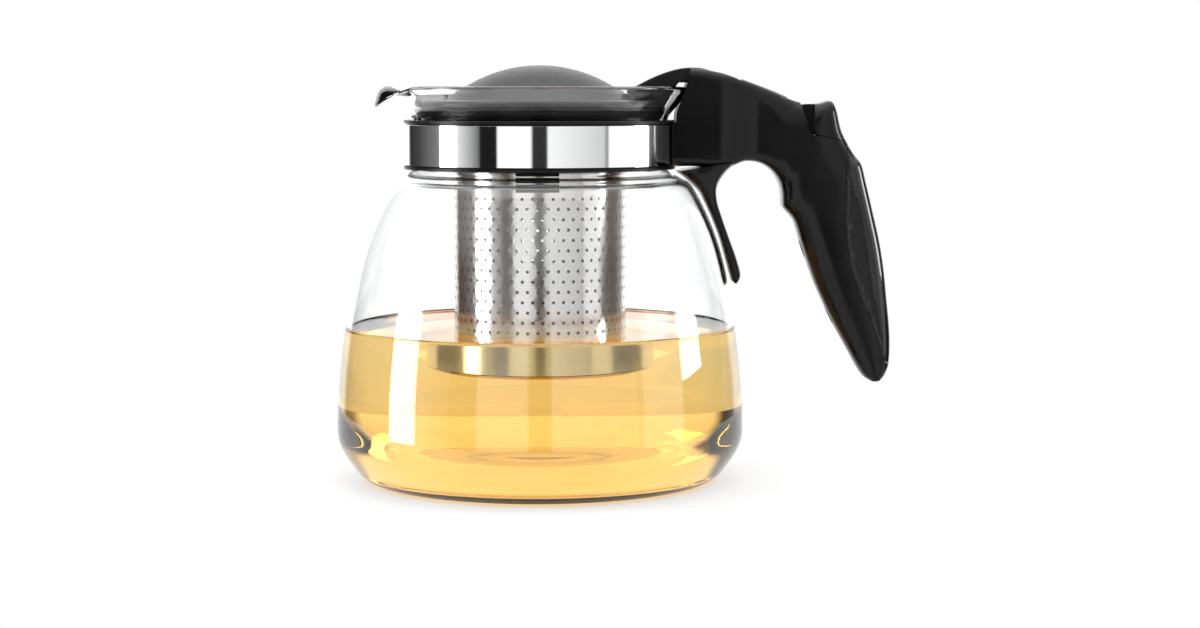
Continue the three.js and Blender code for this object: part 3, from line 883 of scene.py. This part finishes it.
class TEAJUG_OT_handle(bpy.types.Operator):
    """Shape the handle, its glossy back cover and the thumb lever from one skin"""

    bl_idname = "teajug.handle"
    bl_label = "Handle, cover and lever"

    def execute(self, context):
        skin = handle_skin()
        body = duplicate(skin, "handle body")
        boolean(body, plate("body side view", body_outline(), 20), "INTERSECT")
        rim_room = [(0, 116), (45.6, 116), (45.9, 119), (49.6, 129.6), (49.9, 140), (0, 140)]
        cut(
            body,
            hoop("band room", 10, 44.3, 90, 117.6, 160),
            turned("rim room", rim_room, 160),
            block("lid slot", 30, 65.2, -10.4, 10.4, 116.8, 145),
            block("rod way", 60, 86, -3.4, 3.4, 116.8, 121),
            block("lever mouth", 79.4, 104, -6.8, 6.8, 110.6, 135),
            cross_bar("hub pocket", 3.6, LEVER_AXIS, -6.8, 6.8),
            cross_bar("lever pin way", 1.7, LEVER_AXIS, -8.8, 8.8),
            block("ear room", 40, 53.6, -3.1, 3.1, 102.4, 115),
            block("nut room", 40, 52.6, -6.7, -3, 105.4, 112),
            cross_bar("clamp screw way", 1.85, CLAMP_AXIS, -7.2, 8),
            cross_bar("clamp screw head way", 3.3, CLAMP_AXIS, 7.2, 20),
            *screw_ways(with_heads=True),
            plate("rib room", [(91.6, 112), (91.6, 110), (98.7, 108.5), (98.7, 112)], 5.4),
            *both_sides(groove, skin),
        )
        finish_piece(body, "handle", "pot", gloss_black(), ["handle_body"], 32)

        cover = duplicate(skin, "cover")
        boolean(cover, plate("cover side view", cover_outline(), 20), "INTERSECT")
        cut(cover, *screw_ways(with_heads=False), *both_sides(scoop, skin), *both_sides(groove, skin))
        gloss = deep_gloss_black()
        finish_piece(cover, "back_cover", "pot", gloss, ["handle_back_cover"], 32)

        lever = duplicate(skin, "lever")
        boolean(lever, plate("lever side view", LEVER_OUTLINE, 20), "INTERSECT")
        core = plate(
            "core",
            [
                (83.5, 121.3), (83.8, 115.4), (86.2, 113), (86, 111), (91.6, 110.6), (92.6, 112.4),
                (93, 121.4), (86.2, 121.8),
            ],
            6.3,
        )
        cut(core, block("rod room", 80, 86.2, -3.8, 3.8, 112, 130))
        hub = cross_bar("hub", 3.2, LEVER_AXIS, -6.3, 6.3, 48)
        rib = plate("rib", [(92, 111.6), (92, 110.35), (98.3, 109), (98.4, 110.6)], 5)
        join_solids(lever, core, hub, rib)
        cut(lever, cross_bar("pin way", 1.8, LEVER_AXIS, -12, 12))
        finish_piece(lever, "lever", "lever", gloss_black(), ["thumb_lever"], 32)
        bpy.data.objects.remove(skin)
        return {"FINISHED"}


# ---- Infuser ----
class TEAJUG_OT_collar(bpy.types.Operator):
    """Mould the infuser's black collar: cup, cone, pouring holes, tongues and hinge bracket"""

    bl_idname = "teajug.collar"
    bl_label = "Infuser collar"

    def execute(self, context):
        collar = turned(
            "collar",
            [
                (24.8, 97.3), (25.1, 97), (26.6, 97), (26.9, 97.3), (26.9, 103), (38.5, 103), (38.9, 103.4),
                (38.9, 107.25), (37.85, 107.25), (37.85, 110.35), (38.9, 110.35), (38.9, 117.2),
                (40.8, 120.2), (40.8, 120.5), (40.6, 120.7), (37.5, 120.7), (37.3, 120.5), (37.3, 105),
                (36.9, 104.6), (25.2, 104.6), (24.8, 104.2), (24.8, 97.3),
            ],
            steps=160,
        )
        for side in (-1, 1):
            tongue = hoop("tongue", 28.3, 29.9, 95, 103.5, 160, edge=0.2)
            near, far = sorted((20 * side, 40 * side))
            boolean(tongue, block("tongue width", -6.8, 6.8, near, far, 90, 110, 0.4), "INTERSECT")
            boolean(collar, tongue, "UNION")
        bracket = plate(
            "bracket",
            [
                (37.6, 117), (38.8, 117), (39, 119.2), (40.8, 121.6), (42.2, 123.7), (43.4, 125.9),
                (44.2, 127.9), (44.9, 128.65), (49.6, 128.65), (52.6, 125.6), HINGE_AXIS, (57.6, 126.7),
                (54.4, 129.2), (50, 130.9), (43.6, 130.7), (41, 128.6), (39.5, 125.6), (38, 122),
            ],
            3.5,
            0.35,
        )
        join_solids(collar, bracket, cross_bar("eye", 3.1, HINGE_AXIS, -3.5, 3.5, 40))
        cut(
            collar,
            cross_bar("pin way", 1.85, HINGE_AXIS, -12, 12),
            block("pour gap", -45, -28, -10, 10, 112, 120.9),
        )
        for i in range(7):
            angle = math.radians(180 + 20 * (i - 3))
            x, y = 33 * math.cos(angle), 33 * math.sin(angle)
            cut(collar, bar("pour hole", 2.7, (x, y, 100), (x, y, 106)))
        satin = satin_black()
        finish_piece(collar, "collar", "infuser", satin, ["infuser_collar"], 35)
        seal = turned(
            "seal",
            [
                (38.2, 107.8), (38.4, 107.6), (38.9, 107.6), (39.1, 107.9), (38.85, 108.5), (38.85, 109.1),
                (39.1, 109.7), (38.9, 110), (38.4, 110), (38.2, 109.8), (38.2, 107.8),
            ],
            steps=160,
        )
        finish_piece(seal, "seal", "infuser", seal_rubber(), ["collar_seal"], 40)
        return {"FINISHED"}


class TEAJUG_OT_basket(bpy.types.Operator):
    """Punch, roll and close the steel basket, and press its floor"""

    bl_idname = "teajug.basket"
    bl_label = "Steel basket"

    def execute(self, context):
        settings = context.scene.tea_metal
        steel = satin_steel("basket steel", (0.72, 0.715, 0.715), 0.13, 0.2)
        wall = self.punched_wall(settings)
        finish_piece(wall, "basket", "basket", steel, ["basket_wall"], 40)
        base = turned(
            "base",
            [
                (0, 35), (15, 35), (23, 35), (24.9, 35), (26, 35.2), (26.9, 35.7), (27.3, 36.1),
                (26.95, 36.3), (26.95, 38.2), (26.75, 38.4), (26.35, 38.4), (26.15, 38.2), (26.15, 37),
                (25.6, 36.2), (24.8, 35.8), (15, 35.8), (0, 35.8),
            ],
            steps=144,
        )
        # Rings of 6, 12 and 18 holes, 6, 12 and 18 mm out, so that all the holes are equally far apart.
        for ring in (6, 12, 18):
            for i in range(ring):
                angle = 2 * math.pi * i / ring
                x, y = ring * math.cos(angle), ring * math.sin(angle)
                cut(base, bar("drain hole", 0.6, (x, y, 34), (x, y, 37), 12))
        finish_piece(base, "basket_floor", "basket", steel, ["basket_base"], 40)
        return {"FINISHED"}

    def punched_wall(self, settings):
        """A flat strip of punched cells, rolled into a tube and given its thickness."""
        radius, thickness = 27.9, 0.55
        pitch = 2 * math.pi * radius / settings.columns
        low = 48.2
        high = low + settings.rows * pitch
        obj = self.flat_strip(settings, pitch, low)
        for vertex in obj.data.vertices:
            angle = vertex.co.x / MM / radius
            vertex.co.x = radius * MM * math.cos(angle)
            vertex.co.y = radius * MM * math.sin(angle)
        with editing(obj):
            bpy.ops.mesh.remove_doubles(threshold=2e-6)
        for edge_height, heights in ((low, (40, 36.4)), (high, (94.5, 97, 102.7))):
            for height in heights:
                self.raise_edge(obj, edge_height, height)
                edge_height = height
        with editing(obj):
            bpy.ops.mesh.normals_make_consistent(inside=False)
        sheet = obj.modifiers.new("sheet", "SOLIDIFY")
        sheet.thickness = thickness * MM
        sheet.offset = -1
        bpy.ops.object.modifier_apply(modifier=sheet.name)
        return closed_mesh(obj)

    def flat_strip(self, settings, pitch, low):
        """Square cells in staggered rows, each a ring of faces between its round hole and its border."""
        hole = settings.hole_radius / MM
        points = 16
        border = [(1, t / 2) for t in range(-1, 3)] + [(t / 2, 1) for t in range(1, -3, -1)]
        border += [(-x, -z) for x, z in border]
        angles = [2 * math.pi * (i - 1) / points for i in range(points)]
        circle = [(math.cos(a), math.sin(a)) for a in angles]
        verts, faces = [], []
        for column in range(settings.columns):
            for row in range(settings.rows):
                cx = (column + 0.5 + 0.5 * (row % 2)) * pitch
                cz = low + (row + 0.5) * pitch
                first = len(verts)
                verts += [((cx + x * hole) * MM, 0, (cz + z * hole) * MM) for x, z in circle]
                verts += [((cx + x * pitch / 2) * MM, 0, (cz + z * pitch / 2) * MM) for x, z in border]
                for i in range(points):
                    j = (i + 1) % points
                    faces.append((first + i, first + j, first + points + j, first + points + i))
        mesh = bpy.data.meshes.new("basket")
        mesh.from_pydata(verts, [], faces)
        obj = bpy.data.objects.new("basket", mesh)
        bpy.context.scene.collection.objects.link(obj)
        return obj

    def raise_edge(self, obj, at, to):
        """Pulls the open edge at one height straight up or down to another."""
        only(obj)
        mesh = obj.data
        bpy.ops.object.mode_set(mode="EDIT")
        bpy.ops.mesh.select_mode(type="EDGE")
        bpy.ops.mesh.select_all(action="DESELECT")
        bpy.ops.object.mode_set(mode="OBJECT")
        for edge in mesh.edges:
            edge.select = all(abs(mesh.vertices[v].co.z - at * MM) < 2e-6 for v in edge.vertices)
        bpy.ops.object.mode_set(mode="EDIT")
        bpy.ops.mesh.extrude_edges_move(TRANSFORM_OT_translate={"value": (0, 0, (to - at) * MM)})
        bpy.ops.mesh.select_mode(type="VERT")
        bpy.ops.object.mode_set(mode="OBJECT")


# ---- Lid ----
# The hinge arm in side view: along its underside, round the pin and back over its top.
ARM_UNDERSIDE = [
    (28.2, 124.4), (33.4, 121.3), (39.8, 121.9), (41.7, 124.4), (43.3, 127.6), (44.6, 128.7), (49.6, 128.7),
    (51.7, 126.4),
]
ARM_TOP = [
    (59.7, 129.2), (56.5, 131.7), (51.5, 133.2), (46.2, 133.2), (41.3, 132.1), (36.6, 130.3), (32, 128),
    (28.2, 125.9),
]
ARM_OUTLINE = ARM_UNDERSIDE + arc(HINGE_AXIS, 4, 157.5, 380, 18) + [(60.9, 127.6)] + spline(ARM_TOP, 34)
DOME_RADIUS = 45
DOME_CENTRE = 89.2
DOME_EDGE = 31
DOME_SEAT = 120.4


class TEAJUG_OT_lid(bpy.types.Operator):
    """Mould the lid's frame with its hinge arm, and press the steel dome"""

    bl_idname = "teajug.lid"
    bl_label = "Lid"

    def execute(self, context):
        lid = turned(
            "lid frame",
            [
                (0, 118.8), (34.2, 118.8), (34.2, 116.3), (34.5, 116), (35.7, 116), (36, 116.3),
                (36, 121.1), (40.3, 121.1), (40.6, 121.4), (40.6, 122.3), (40.2, 122.8), (39.6, 123),
                (31.65, 123), (31.35, 122.8), (31.35, DOME_SEAT), (0, DOME_SEAT),
            ],
            steps=160,
        )
        cut(lid, block("skirt gap", -45, -28, -10, 10, 112, 118.79))
        arm = plate("arm", ARM_OUTLINE, 10, 0.9, 4)
        swing = math.radians(25)
        heel = (HINGE_AXIS[0] + 5 * math.sin(swing), HINGE_AXIS[1] - 5 * math.cos(swing))
        web_outline = [
            (52.6, 122.6), (heel[0] - 1, heel[1] - 0.4), (heel[0] + 1, heel[1] - 0.4), (59.2, 123.4),
        ]
        join_solids(arm, plate("web", web_outline, 9.9))
        cut(arm, turned("dome room", self.dome_room(), 160))
        join_solids(lid, arm)
        bracket_room = plate(
            "bracket room",
            [
                (36.9, 110), (60.6, 110), (60.6, 125.4), (58.6, 128.2), (55.2, 130.2), (50.6, 131.6),
                (43, 131.5), (40.4, 129.6), (38.6, 126.4), (36.9, 122.4),
            ],
            4,
        )
        cut(lid, bracket_room)
        join_solids(lid, cross_bar("heel", 1.2, heel, -9.9, 9.9, 24))
        cut(lid, cross_bar("pin way", 1.85, HINGE_AXIS, -12, 12))
        finish_piece(lid, "lid_ring", "lid", satin_black(), ["lid_frame"], 35)

        outside = self.arc_of_dome(DOME_RADIUS)
        inside = self.arc_of_dome(DOME_RADIUS - 1.4)
        rim = [(31.05, 120.75), (30.6, 120.45)]
        dome = turned("dome", outside + rim + list(reversed(inside)), steps=160)
        # The dome steel takes the darkened colour, as painted shade.
        colour = tuple(context.scene.tea_metal.dome)
        steel = satin_steel("dome steel", colour, 0.3, 0.42, (1, 1, 1), 0.000004)
        finish_piece(dome, "dome", "lid", steel, ["lid_dome"], 40)
        return {"FINISHED"}

    def arc_of_dome(self, radius):
        """From the top of the dome out to its edge."""
        count = 40
        widest = math.asin(DOME_EDGE / DOME_RADIUS)
        angles = [widest * i / count for i in range(count + 1)]
        return [(radius * math.sin(a), DOME_CENTRE + radius * math.cos(a)) for a in angles]

    def dome_room(self):
        """The space that the dome takes in the arm, with a small gap round it."""
        top = self.arc_of_dome(DOME_RADIUS + 0.35)
        return top + [(top[-1][0], DOME_SEAT), (0, DOME_SEAT)]


STEEL_NODES = (
    "clamp_screw", "clamp_nut", "cover_screw_upper", "cover_screw_lower", "lever_pin", "hinge_pin",
)


class TEAJUG_OT_hardware(bpy.types.Operator):
    """Give the screws, pins and the push rod their steel and plastic"""

    bl_idname = "teajug.hardware"
    bl_label = "Screws, pins and rod"

    def execute(self, context):
        steel = satin_steel("bright steel", (0.62, 0.62, 0.63), 0.2, 0.32, (1, 1, 1), 0.000004)
        for name in STEEL_NODES:
            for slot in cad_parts[name].material_slots:
                slot.material = steel
        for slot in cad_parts["push_rod"].material_slots:
            slot.material = satin_black()
        return {"FINISHED"}


# ---- Stage ----
# Studio round the jug: brightness by bearing from the camera's side, in degrees.
STUDIO = [
    (-180, 1.0), (-146, 1.0), (-140, 0.02), (-120, 0.05), (-92, 0.17), (-89, 0.3), (-70, 0.6), (-51, 0.15),
    (-49, 0.01), (-35, 0.01), (-33.5, 0.87), (-6, 0.87), (-4.5, 0.025), (7, 0.025), (8.5, 0.8), (57, 0.52),
    (59, 0.19), (60, 0.19), (61.5, 0.87), (88, 0.87), (90, 0.02), (124, 0.02), (128, 0.17), (140, 0.27),
    (146, 1.0), (180, 1.0),
]
CAMERA_PLACE = Vector((0.0195, -0.745, 0.124))
CAMERA_TARGET = Vector((0.0195, 0, 0.0535))


def studio_world(brightness):
    """A plain white background with a dark and bright striped room for the reflections."""
    world = bpy.data.worlds.new("studio")
    bpy.context.scene.world = world
    world.use_nodes = True
    nodes, links = world.node_tree.nodes, world.node_tree.links
    nodes.clear()

    def add(kind, **settings):
        node = nodes.new(kind)
        for key, value in settings.items():
            setattr(node, key, value)
        return node

    output = add("ShaderNodeOutputWorld")
    room = add("ShaderNodeBackground")
    plain = add("ShaderNodeBackground")
    plain.inputs["Color"].default_value = (1, 1, 1, 1)
    plain.inputs["Strength"].default_value = 1.0
    path = add("ShaderNodeLightPath")
    choose = add("ShaderNodeMixShader")
    direction = add("ShaderNodeTexCoord")
    split = add("ShaderNodeSeparateXYZ")
    bearing = add("ShaderNodeMath", operation="ARCTAN2")
    flip = add("ShaderNodeMath", operation="MULTIPLY")
    flip.inputs[1].default_value = -1.0
    turn = add("ShaderNodeMapRange")
    turn.inputs["From Min"].default_value = -math.pi
    turn.inputs["From Max"].default_value = math.pi
    links.new(direction.outputs["Generated"], split.inputs["Vector"])
    links.new(split.outputs["X"], bearing.inputs[0])
    links.new(split.outputs["Y"], flip.inputs[0])
    links.new(flip.outputs[0], bearing.inputs[1])
    links.new(bearing.outputs[0], turn.inputs["Value"])
    # The stripes: one ramp holds 32 stops at most.
    ramp = add("ShaderNodeValToRGB")
    elements = ramp.color_ramp.elements
    while len(elements) < len(STUDIO):
        elements.new(0.5)
    for element, (degrees, grey) in zip(elements, STUDIO):
        element.position = (degrees + 180) / 360
        element.color = (grey, grey, grey, 1)
    links.new(turn.outputs["Result"], ramp.inputs["Fac"])
    # High up and far down the stripes fade into an even pale grey.
    ceiling = add("ShaderNodeMapRange", interpolation_type="SMOOTHSTEP")
    ceiling.inputs["From Min"].default_value = 0.35
    ceiling.inputs["From Max"].default_value = 0.62
    steep = add("ShaderNodeMath", operation="ABSOLUTE")
    links.new(split.outputs["Z"], steep.inputs[0])
    links.new(steep.outputs[0], ceiling.inputs["Value"])
    blend = add("ShaderNodeMix", data_type="RGBA")
    blend.inputs[7].default_value = (0.9, 0.9, 0.9, 1)
    links.new(ceiling.outputs["Result"], blend.inputs[0])
    links.new(ramp.outputs["Color"], blend.inputs[6])
    links.new(blend.outputs[2], room.inputs["Color"])
    room.inputs["Strength"].default_value = brightness
    links.new(path.outputs["Is Camera Ray"], choose.inputs[0])
    links.new(room.outputs["Background"], choose.inputs[1])
    links.new(plain.outputs["Background"], choose.inputs[2])
    links.new(choose.outputs["Shader"], output.inputs["Surface"])


def area_light(name, bearing, distance, height, size, power):
    """A tall soft light at a bearing from the camera's side, aimed at the jug."""
    angle = math.radians(bearing)
    place = Vector((math.sin(angle) * distance, -math.cos(angle) * distance, height))
    bpy.ops.object.light_add(type="AREA", location=place)
    light = bpy.context.object
    light.name = name
    light.data.shape = "RECTANGLE"
    light.data.size, light.data.size_y = size
    light.data.energy = power
    light.rotation_euler = (Vector((0, 0, height)) - place).to_track_quat("-Z", "Y").to_euler()
    light.visible_camera = False
    return light


class TEAJUG_OT_stage(bpy.types.Operator):
    """Set up the pale floor, the studio light and the camera"""

    bl_idname = "teajug.stage"
    bl_label = "Stage"

    def execute(self, context):
        settings = context.scene.tea_stage
        scene = context.scene
        deselect()
        # The floor is small, so that the band mirrors the striped room beyond it.
        bpy.ops.mesh.primitive_circle_add(
            vertices=128, radius=0.22, fill_type="NGON", location=(0, 0, -0.0002)
        )
        floor = named(bpy.context.object, "floor")
        floor.data.materials.append(self.pale_floor(tuple(settings.floor)))
        studio_world(settings.brightness)
        lights = [
            area_light("left strip", -80, 1.1, 0.11, (0.36, 1.1), 10),
            area_light("right strip", 95, 1.1, 0.3, (0.32, 0.48), 4),
        ]
        bpy.ops.object.light_add(type="AREA", location=(0, -0.1, 1.6))
        top = bpy.context.object
        top.name = "top light"
        top.data.size = 1.6
        top.data.energy = 9
        top.visible_camera = False
        bpy.ops.object.camera_add(location=CAMERA_PLACE)
        camera = bpy.context.object
        camera.data.lens = settings.lens
        camera.data.sensor_width = 36
        camera.data.clip_start = 0.01
        camera.rotation_euler = (CAMERA_TARGET - CAMERA_PLACE).to_track_quat("-Z", "Y").to_euler()
        scene.camera = camera
        scene.view_settings.view_transform = "Standard"
        return {"FINISHED"}

    def pale_floor(self, colour):
        """Pale and matt, glowing evenly white away from the jug; under it a painted warm glow of light
        through the tea, which also paints out the jug's shadow.
        """
        shader = Shader("pale floor")
        shader.set(Roughness=0.6, Specular_IOR_Level=0.2)
        patches = shader.noise(2, 2)
        shader.feed(shader.ramp(patches, [(0.3, tinted(colour, 0.995)), (0.7, colour)]), "Base Color")
        glow = shader.add("ShaderNodeEmission")
        glow.inputs["Strength"].default_value = 1.0
        far = shader.add("ShaderNodeVectorMath", operation="LENGTH")
        shader.link(shader.coords(), far.inputs[0])
        # How much of the floor glows: nearly all under the jug, as painted light that hides its shadow,
        # less round it, and all at the edge.
        share = shader.ramp(
            shader.spread(far.outputs["Value"], 0, 1, 0.0, 0.2),
            [(place, (lit,) * 3) for place, lit in ((0.24, 0.95), (0.31, 0.62), (0.5, 0.7), (0.95, 1))],
        )
        # Painted light: an orange glow under the jug, standing in for light that comes through the tea onto
        # the floor.
        painted_tea_glow = shader.spread(far.outputs["Value"], 0, 1, 0.05, 0.06)
        shader.link(shader.ramp(painted_tea_glow, [(0, (1.0, 0.54, 0.07)), (1, (1.0, 1.0, 1.0))]), glow.inputs["Color"])
        blend = shader.add("ShaderNodeMixShader")
        shader.link(share, blend.inputs[0])
        shader.link(shader.bsdf.outputs["BSDF"], blend.inputs[1])
        shader.link(glow.outputs["Emission"], blend.inputs[2])
        shader.link(blend.outputs["Shader"], shader.output.inputs["Surface"])
        return shader.material


class TEAJUG_PT_panel(bpy.types.Panel):
    """Lists the steps and their settings"""

    bl_idname = "TEAJUG_PT_panel"
    bl_label = "Tea jug"
    bl_space_type = "VIEW_3D"
    bl_region_type = "UI"
    bl_category = "Tea jug"

    def draw(self, context):
        layout = self.layout
        for group in ("tea_glass", "tea_metal", "tea_plastic", "tea_stage"):
            settings = getattr(context.scene, group)
            box = layout.box()
            for name in settings.bl_rna.properties.keys():
                if name not in ("rna_type", "name"):
                    box.prop(settings, name)
        for step in STEPS:
            layout.operator(step.bl_idname)


STEPS = (
    TEAJUG_OT_glass,
    TEAJUG_OT_tea,
    TEAJUG_OT_neck,
    TEAJUG_OT_handle,
    TEAJUG_OT_collar,
    TEAJUG_OT_basket,
    TEAJUG_OT_lid,
    TEAJUG_OT_hardware,
    TEAJUG_OT_stage,
)
SETTINGS = {
    "tea_glass": GlassSettings,
    "tea_metal": MetalSettings,
    "tea_plastic": PlasticSettings,
    "tea_stage": StageSettings,
}


def register():
    for settings in SETTINGS.values():
        bpy.utils.register_class(settings)
    for step in STEPS:
        bpy.utils.register_class(step)
    bpy.utils.register_class(TEAJUG_PT_panel)
    for name, settings in SETTINGS.items():
        setattr(bpy.types.Scene, name, bpy.props.PointerProperty(type=settings))


def unregister():
    for name in SETTINGS:
        delattr(bpy.types.Scene, name)
    bpy.utils.unregister_class(TEAJUG_PT_panel)
    for step in reversed(STEPS):
        bpy.utils.unregister_class(step)
    for settings in reversed(list(SETTINGS.values())):
        bpy.utils.unregister_class(settings)


def main():
    register()
    bpy.ops.teajug.glass()
    bpy.ops.teajug.tea()
    bpy.ops.teajug.neck()
    bpy.ops.teajug.handle()
    bpy.ops.teajug.collar()
    bpy.ops.teajug.basket()
    bpy.ops.teajug.lid()
    bpy.ops.teajug.hardware()
    bpy.ops.teajug.stage()


if __name__ == "__main__":
    main()
